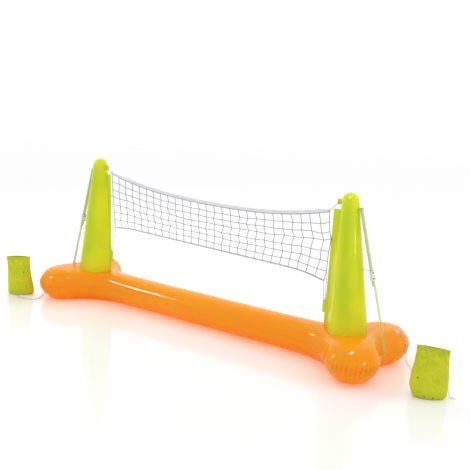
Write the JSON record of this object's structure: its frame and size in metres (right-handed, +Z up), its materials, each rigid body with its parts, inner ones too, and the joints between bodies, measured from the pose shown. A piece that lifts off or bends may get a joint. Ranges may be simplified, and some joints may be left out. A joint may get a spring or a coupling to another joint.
{
  "type": "inflatable pool volleyball net",
  "caption": "Air-filled pool volleyball set: orange dumbbell-shaped base, a green tower at each end, a sagging net between them, tension straps and water-filled anchor bags.",
  "frame": {"origin": "on the floor under the middle of the base tube", "axes": "+X along the net towards the right tower, -Y the front, +Z up"},
  "size_m": [2.9265, 0.7135, 0.914],
  "materials": {
    "base_vinyl": "glossy orange vinyl film",
    "tower_vinyl": "glossy yellow-green vinyl film",
    "strap_vinyl": "thin translucent green vinyl sheet",
    "clear_vinyl": "soft clear vinyl",
    "white_plastic": "moulded white plastic",
    "net_cord": "braided white cord",
    "net_tape": "woven white tape",
    "bag_vinyl": "thin creased green vinyl film"
  },
  "bodies": {
    "frame": {"anchor_bag_left": "bag_vinyl", "anchor_bag_right": "bag_vinyl", "anchor_cord_left": "net_cord", "anchor_cord_right": "net_cord", "anchor_patch_left": "clear_vinyl", "anchor_patch_right": "clear_vinyl", "anchor_ring_left": "white_plastic", "anchor_ring_right": "white_plastic", "bag_tail_cord_right": "net_cord", "base_bladder": "base_vinyl", "base_valve_seat": "clear_vinyl", "net_foot_rope": "net_cord", "net_foot_tab_left": "strap_vinyl", "net_foot_tab_right": "strap_vinyl", "net_head_tab_left": "strap_vinyl", "net_head_tab_right": "strap_vinyl", "net_head_tie_left": "net_cord", "net_head_tie_right": "net_cord", "net_headband": "net_tape", "net_mesh": "net_cord", "net_side_cord_left": "net_cord", "net_side_cord_right": "net_cord", "net_side_tie_left": "net_cord", "net_side_tie_right": "net_cord", "strap_foot_tab_left": "base_vinyl", "strap_foot_tab_right": "base_vinyl", "strap_keeper_left": "strap_vinyl", "strap_keeper_right": "strap_vinyl", "strap_tab_left": "strap_vinyl", "strap_tab_right": "strap_vinyl", "tension_strap_left": "strap_vinyl", "tension_strap_right": "strap_vinyl", "tower_left": "tower_vinyl", "tower_right": "tower_vinyl", "tower_valve_left_seat": "clear_vinyl", "tower_valve_right_seat": "clear_vinyl"},
    "buckle_left": {"strap_buckle_left": "white_plastic"},
    "buckle_right": {"strap_buckle_right": "white_plastic"},
    "base_valve_stem": {"base_valve_stem": "clear_vinyl"},
    "base_valve_cap": {"base_valve_cap": "white_plastic"},
    "tower_valve_left_stem": {"tower_valve_left_stem": "clear_vinyl"},
    "tower_valve_left_cap": {"tower_valve_left_cap": "white_plastic"},
    "tower_valve_right_stem": {"tower_valve_right_stem": "clear_vinyl"},
    "tower_valve_right_cap": {"tower_valve_right_cap": "white_plastic"}
  },
  "joints": [
    {"name": "buckle_left_slide", "type": "slide", "parent": "frame", "child": "buckle_left", "axis": [-0.2565, 0, -0.9666], "range_m": [0, 0.025]},
    {"name": "buckle_right_slide", "type": "slide", "parent": "frame", "child": "buckle_right", "axis": [0.2565, 0, -0.9666], "range_m": [0, 0.025]},
    {"name": "base_valve_stem_slide", "type": "slide", "parent": "frame", "child": "base_valve_stem", "axis": [-0.1193, 0.7193, 0.6843], "range_m": [0, 0.01]},
    {"name": "base_valve_cap_hinge", "type": "hinge", "parent": "base_valve_stem", "child": "base_valve_cap", "pos_m": [-1.06788, 0.29541, 0.16687], "axis": [-0.112, 0.6751, -0.7292], "range_deg": [0, 150]},
    {"name": "tower_valve_left_stem_slide", "type": "slide", "parent": "frame", "child": "tower_valve_left_stem", "axis": [0, 0.9966, 0.0827], "range_m": [0, 0.01]},
    {"name": "tower_valve_left_cap_hinge", "type": "hinge", "parent": "tower_valve_left_stem", "child": "tower_valve_left_cap", "pos_m": [-0.91824, 0.09846, 0.3005], "axis": [0, 0.0827, -0.9966], "range_deg": [0, 150]},
    {"name": "tower_valve_right_stem_slide", "type": "slide", "parent": "frame", "child": "tower_valve_right_stem", "axis": [0, 0.9966, 0.0827], "range_m": [0, 0.01]},
    {"name": "tower_valve_right_cap_hinge", "type": "hinge", "parent": "tower_valve_right_stem", "child": "tower_valve_right_cap", "pos_m": [0.93692, 0.09846, 0.3005], "axis": [0, 0.0827, -0.9966], "range_deg": [0, 150]}
  ]
}
